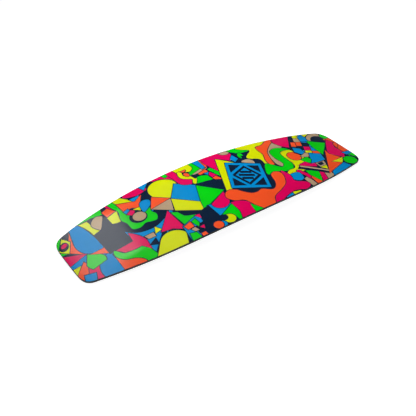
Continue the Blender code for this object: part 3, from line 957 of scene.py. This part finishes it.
NOSE = [
    ("navy", (45.6, 9), (52, 18), (58, 18), (56, -2), (48, -3), (44.2, 4)),
    *nose_checks(),
    ("orange", (46.6, 9), (48.6, 8), (50.4, 11.4), (48.8, 12.4)),
    ("blue", (44.6, 4.6), (46.2, 8), (49, 5.8), (48.4, 2.2), (46.4, 1.4)),
    ("tan", (44.6, 0.4), (48.4, 2), (50.2, 0.4), (46.8, -1.8)),
    ("blue", (55.4, 15.6), (53.8, 11), (57, 9.8), (59.4, 12.8)),
    ("tan", half_disc(62.6, 9.6, 5, 0)),
    ("navy", disc(62.6, 8.6, 3.4)),
    ("yellow", (58.4, 13.6), (61.6, 15.2), (58.6, 17.4)),
    ("green", oval(67.6, 9.6, 3.6, 6, 10)),
    ("green", (56.2, 10), (63.4, 5), (60.4, 2), (54.8, -3), (55.2, 4)),
    ("orange", (65, 8), (72, 8), (72, -7), (64.6, -5), (66, 0)),
    ("magenta", (66, 7.4), (60.4, 0.6), (57.8, -3), (62.4, -9, 0.1), (65.4, -5), (64.8, 0), (67.4, 4)),
    ("orange", (69.4, 4.4), (66.2, 2.6), (65.4, -1), (67.4, 0.6)),
    ("orange", (58.6, -0.2), (46.6, -16.4), (58.6, -12), (60.6, -8), (58, -3.6)),
    ("blue", (64.4, -5.2), (72, -5.4), (72, -10), (65.6, -9)),
    ("green", (65.6, -8), (72, -6.4), (69, -12)),
    ("blue", (50, 1), (54.4, -2), (52.6, -6.7), (44.8, -6.9)),
    ("green", (42.8, -1.8), (46.8, -1.4), (47, -4), (44.8, -6, 0.2)),
    ("magenta", (38.6, -5), (43, -4.2), (44.4, -6.8), (46.6, -7), (45.6, -9.6), (43.2, -8.6)),
    ("tan", (46.6, -7.2), (51.4, -7.2), (50, -10.4), (46.4, -10.6)),
    ("navy", (47.6, -7.8), (49.8, -7.8), (49.2, -9.4), (47.4, -9.4)),
    ("yellow", (46.2, -10.8), (49.8, -10.6), (48.4, -13.4)),
    ("yellow", (54.4, -9.5), (61.6, -8.5), (58.4, -12)),
    ("blue", (49, -15.6), (58.6, -12.4), (61, -18), (46, -21)),
    ("green", oval(63.2, -12, 6.4, 6.2)),
]

PRINT = [
    *TAIL,
    *TAIL_BINDING,
    *MIDDLE,
    *SHOULDER,
    *TOE,
    *panel_patches(),
    *HEEL_NOSE,
    *TOE_NOSE,
    *TOE_WAVES,
    *NOSE,
]


def make_base(cut_edge):
    """The printed base sheet: each patch of colour is its own set of faces, with a dark line around it."""
    loops, inks = [], []
    for ink, *given in PRINT:
        loop = anticlockwise(given[0] if isinstance(given[0], list) else shape(*given))
        loops += [grown(loop, LINE), loop]
        inks += [GROUND, ink]
    xs = steps(-RAIL_FADE[1], RAIL_FADE[1], round(2 * RAIL_FADE[1] / STEP))
    creases = [[Vector((x, sign * (side_line(x) - RAIL_WIDTH))) for x in xs] for sign in (-1, 1)]
    printed = outline(PRINT_MARGIN)
    points, triangles, covers, _ = triangulate(outline(RIM_ROUND), loops, [*creases, printed + printed[:1]])
    corners = np.array([[points[v] for v in tri] for tri in triangles])
    coloured = inside(printed, *corners.mean(axis=1).T)
    names = list(INKS)
    shown = [inks[cover] if hit and cover != BARE else GROUND for cover, hit in zip(covers, coloured)]
    looks = [names.index(ink) for ink in shown]
    faces = below_base(0), below_base(BASE_SHEET)
    mesh = layer_mesh("base_sheet_fine", points, triangles, looks, *faces, len(names))
    materials = [ink_look(f"{name}_ink", *INKS[name]) for name in names] + [cut_edge]
    add_piece("base_sheet", mesh, "printed_base", materials)


# ---- the other layers ----


def insert_places():
    """Each insert's node, where it meets the deck, and the turn that squares it to the deck."""
    slope = (deck_line(PAD_END) - deck_line(PAD_START)) / PAD_LENGTH
    for end, end_sign in ENDS.items():
        for side, side_sign in SIDES.items():
            for i in range(INSERTS_PER_LINE):
                x = end_sign * (PAD_MIDDLE + (i - (INSERTS_PER_LINE - 1) / 2) * INSERT_PITCH)
                y = side_sign * INSERT_LINE_OFFSET
                place = Vector((x, y, deck_height(x, y)))
                yield f"insert_{end}_{side}_{i + 1}", place, (0, -math.atan(slope) * end_sign, 0)


def make_laminates_and_deck(cut_edge):
    glass = glass_look()
    depth = BASE_SHEET + GAP
    points, triangles, _, _ = triangulate(outline(RIM_ROUND))
    faces = below_base(depth), below_base(depth + LAMINATE)
    mesh = layer_mesh("base_laminate_fine", points, triangles, [0] * len(triangles), *faces, 1)
    add_piece("base_laminate", mesh, "glass_fibre", [glass, cut_edge])

    hole = INSERT_RADIUS + GAP + RIM_ROUND
    holes = [disc(place.x / CM, place.y / CM, hole / CM) for _, place, _ in insert_places()]
    region = outline(DECK_LIP + GAP + RIM_ROUND)
    points, triangles, covers, _ = triangulate(region, holes)
    kept = [tri for tri, cover in zip(triangles, covers) if cover == BARE]
    inner = TOP_SHEET + GAP
    for node, depths, slot, look in (
        ("top_sheet", (TOP_SHEET, 0), "deck_sheet", deck_look()),
        ("deck_laminate", (inner + LAMINATE, inner), "glass_fibre", glass),
    ):
        faces = [above_deck(depth) for depth in depths]
        mesh = layer_mesh(f"{node}_fine", points, kept, [0] * len(kept), *faces)
        add_piece(node, mesh, slot, [look])


def lifted(points, surface):
    return [Vector((p.x, p.y, surface(p.x, p.y))) for p in points]


def edge_levels():
    """Insets and surfaces, from the base side down around the outer face to the inside of the lip."""
    yield RIM_ROUND, below_base(BASE_STACK)
    yield 0, below_base(BASE_STACK + RIM_ROUND)
    for angle in steps(0, math.pi / 2, EDGE_ROUND_STEPS) + [math.pi / 2]:
        inset = SIDE_UNDERCUT + EDGE_ROUND * (1 - math.cos(angle))
        yield inset, above_deck(EDGE_ROUND * (1 - math.sin(angle)))
    yield DECK_LIP, above_deck(0)
    yield DECK_LIP, above_deck(DECK_STACK)


def make_sidewalls(urethane):
    inner_face = [(SIDEWALL_WIDTH, above_deck(DECK_STACK)), (SIDEWALL_WIDTH, below_base(BASE_STACK))]
    section = list(edge_levels()) + inner_face
    cap = flat_cap(len(section))
    stations = steps(TIP_JOINT, -TIP_JOINT, 2 * math.ceil(TIP_JOINT / STEP)) + [-TIP_JOINT]
    for side, sign in SIDES.items():
        rings = []
        for x in stations:
            ring = []
            for inset, surface in section:
                y = sign * side_point(x, inset).y
                ring.append(Vector((x, y, surface(x, y))))
            rings.append(ring[::-1] if sign > 0 else ring)
        mesh = loft_mesh(f"sidewall_{side}_fine", rings, cap, cap)
        add_piece(f"sidewall_{side}", mesh, "cast_urethane", [urethane])


def tip_ring(inset):
    """Around a tip block, anticlockwise from the toe end of its joint."""
    heel = quarter(inset, TIP_JOINT + GAP)
    toe = [Vector((p.x, -p.y)) for p in heel]
    count = 2 * round(side_line(TIP_JOINT) / STEP) + 1  # odd, so that no point is on the centre line
    joint = [heel[0].lerp(toe[0], i / count) for i in range(1, count)]
    return toe[:-1] + heel[::-1] + joint


def make_tips(urethane):
    levels = list(edge_levels())
    for end, sign in ENDS.items():
        rings, caps = [], []
        for inset, surface in levels:
            rings.append(lifted([sign * p for p in tip_ring(inset)], surface))
        for ring, (_, surface) in ((rings[0], levels[0]), (rings[-1], levels[-1])):
            region = [p.to_2d() for p in ring]
            points, triangles, _, places = triangulate(region)
            number = {v: source for source, v in places.items()}
            extra = [v for v in range(len(points)) if v not in number]
            number.update({v: len(region) + i for i, v in enumerate(extra)})
            inner = lifted([points[v] for v in extra], surface)
            caps.append((inner, [[number[v] for v in tri] for tri in triangles]))
        mesh = loft_mesh(f"tip_spacer_{end}_fine", rings, *caps)
        add_piece(f"tip_spacer_{end}", mesh, "cast_urethane", [urethane])


def insert_mesh():
    """A flanged insert, turned, with a real thread. Its mouth is at height 0 and it runs up."""
    count_around = 32
    chamfer = 0.0004
    groove = 0.0003  # depth of the thread
    rows_per_turn = 6
    shoulder = INSERT_HEIGHT - FLANGE_THICKNESS
    rows = [  # radius, height and how far a thread widens it
        (FLANGE_RADIUS - chamfer, INSERT_HEIGHT, 0),
        (FLANGE_RADIUS, INSERT_HEIGHT - chamfer, 0),
        (FLANGE_RADIUS, shoulder + chamfer, 0),
        (FLANGE_RADIUS - chamfer, shoulder, 0),
        (INSERT_RADIUS, shoulder, 0),
        (INSERT_RADIUS, chamfer, 0),
        (INSERT_RADIUS - chamfer, 0, 0),
        (THREAD_RADIUS + 2 * chamfer, 0, 0),
    ]
    count = round(THREAD_DEPTH / THREAD_PITCH * rows_per_turn)
    for i in range(1, count + 1):
        rows.append((THREAD_RADIUS, THREAD_DEPTH * i / count, groove))
    rings = []
    for radius, height, wave in rows:
        ring = []
        for turn in steps(0, 1, count_around):
            tooth = abs(((height / THREAD_PITCH - turn) % 1) * 2 - 1)
            reach = radius + wave * tooth
            angle = 2 * math.pi * turn
            ring.append((reach * math.cos(angle), reach * math.sin(angle), height))
        rings.append(ring)
    return loft_mesh("threaded_insert", rings, flat_cap(count_around), flat_cap(count_around))


def make_inserts():
    mesh = insert_mesh()
    steel = steel_look()
    for node, place, turn in insert_places():
        insert = add_piece(node, mesh, "plated_steel", [steel])
        insert.location = place
        insert.rotation_euler = turn


WOODS = {  # early wood, late wood and rings in a metre, by how the nodes' names start
    "core_plank": (linear(214, 186, 142), linear(168, 128, 84), 110),
    "insert_block": (linear(150, 96, 56), linear(98, 58, 34), 260),
}


def finish_core():
    """The planks and blocks keep their CAD shapes, each with its own run of grain."""
    for name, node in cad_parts.items():
        for kind, wood in WOODS.items():
            if name.startswith(kind):
                seed = 10 * sum(ord(letter) for letter in name)
                node.material_slots[0].material = wood_look(f"{name}_wood", *wood, seed)


# ---- the studio ----

VIEW_TURN = -33.92  # the camera's azimuth, elevation and roll, in degrees
VIEW_RISE = 37.93
VIEW_ROLL = -1.15
VIEW_DISTANCE = 2.7725
VIEW_AIM = (-0.0453, -0.0883)  # to the right of and above the middle of the base, as the camera sees it
VIEW_LENS = 58.38

FLOOR_REACH = 12
FLOOR_WHITE = 0.42
FLOOR_GLOW = 0.92  # of its own, so that it stays white under the board
WALL_GLOW = 1.1
WALL_TOP = math.radians(14)  # as seen from the board
CEILING_START = math.radians(16)
CEILING_GLOW = 0.03
PANELS = {  # place, aim, width, length, glow and whether the board mirrors it
    "overhead": ((-0.05, -0.2, 2.1), (0, 0, 0), 1.6, 2.0, 2.2, True),
    "key": ((0, 0.8, 1.1), (0, 0.05, 0.05), 0.8, 0.8, 5.1, False),
    "tail_glow": ((-0.05, 3.08, 2.95), (-0.5, 0, 0.05), 0.9, 1.1, 2.9, True),
}


def make_camera():
    turn, rise = math.radians(VIEW_TURN), math.radians(VIEW_RISE)
    back = Vector((math.sin(turn) * math.cos(rise), -math.cos(turn) * math.cos(rise), math.sin(rise)))
    right = Vector((math.cos(turn), math.sin(turn), 0))
    up = back.cross(right)
    level = Matrix((right, up, back)).transposed()
    facing = level @ Matrix.Rotation(math.radians(VIEW_ROLL), 3, "Z")
    aim = Vector((0, 0, BASE_TOP)) + facing @ Vector((*VIEW_AIM, 0))
    camera = add_object("camera", bpy.data.cameras.new("camera"))
    camera.data.lens = VIEW_LENS
    camera.matrix_world = Matrix.Translation(aim + facing @ Vector((0, 0, VIEW_DISTANCE))) @ facing.to_4x4()
    bpy.context.scene.camera = camera


def add_panel(name, place, aim, width, length, glow, mirrored):
    """A soft box at a place, facing a point. A glow of 1 looks as bright as white paper."""
    lamp = bpy.data.lights.new(name, "AREA")
    lamp.shape = "RECTANGLE"
    lamp.size = width
    lamp.size_y = length
    lamp.energy = math.pi * width * length * glow
    panel = add_object(name, lamp)
    panel.location = place
    panel.rotation_euler = (Vector(aim) - Vector(place)).to_track_quat("-Z", "Y").to_euler()
    panel.visible_camera = False
    panel.visible_glossy = mirrored


def make_floor():
    corners = [(x * FLOOR_REACH, y * FLOOR_REACH, 0) for x, y in ((-1, -1), (1, -1), (1, 1), (-1, 1))]
    mesh = new_mesh("floor", corners, [[0, 1, 2, 3]])
    look = Look("white_sweep", Roughness=0.9, Specular_IOR_Level=0.0, Emission_Strength=FLOOR_GLOW)
    look.shader.inputs["Emission Color"].default_value = (1, 1, 1, 1)
    look.feed("Base Color", look.tinted([FLOOR_WHITE] * 3, look.noise(3, 3, low=0.97, high=1.0)))
    mesh.materials.append(look.material)
    floor = add_object("floor", mesh)


def make_world():
    """A low white wall all around, and a dark ceiling over it."""
    world = bpy.data.worlds.new("studio")
    world.use_nodes = True
    tree = world.node_tree
    place = add_node(tree, "ShaderNodeTexCoord").outputs["Generated"]
    height = add_node(tree, "ShaderNodeSeparateXYZ", {"Vector": place}).outputs["Z"]
    limits = {"From Min": math.sin(WALL_TOP), "From Max": math.sin(CEILING_START)}
    glows = {"To Min": WALL_GLOW, "To Max": CEILING_GLOW}
    fade = add_node(tree, "ShaderNodeMapRange", {"Value": height, **limits, **glows})
    background = tree.nodes["Background"]
    background.inputs["Color"].default_value = (1, 1, 1, 1)
    tree.links.new(fade.outputs["Result"], background.inputs["Strength"])
    bpy.context.scene.world = world


def make_lights():
    make_world()
    for name, settings in PANELS.items():
        add_panel(name, *settings)
    bpy.context.scene.view_settings.view_transform = "Standard"


make_camera()
make_lights()
make_floor()
cut_edge = cut_edge_look()
urethane = urethane_look()
make_base(cut_edge)
make_laminates_and_deck(cut_edge)
make_sidewalls(urethane)
make_tips(urethane)
make_inserts()
finish_core()
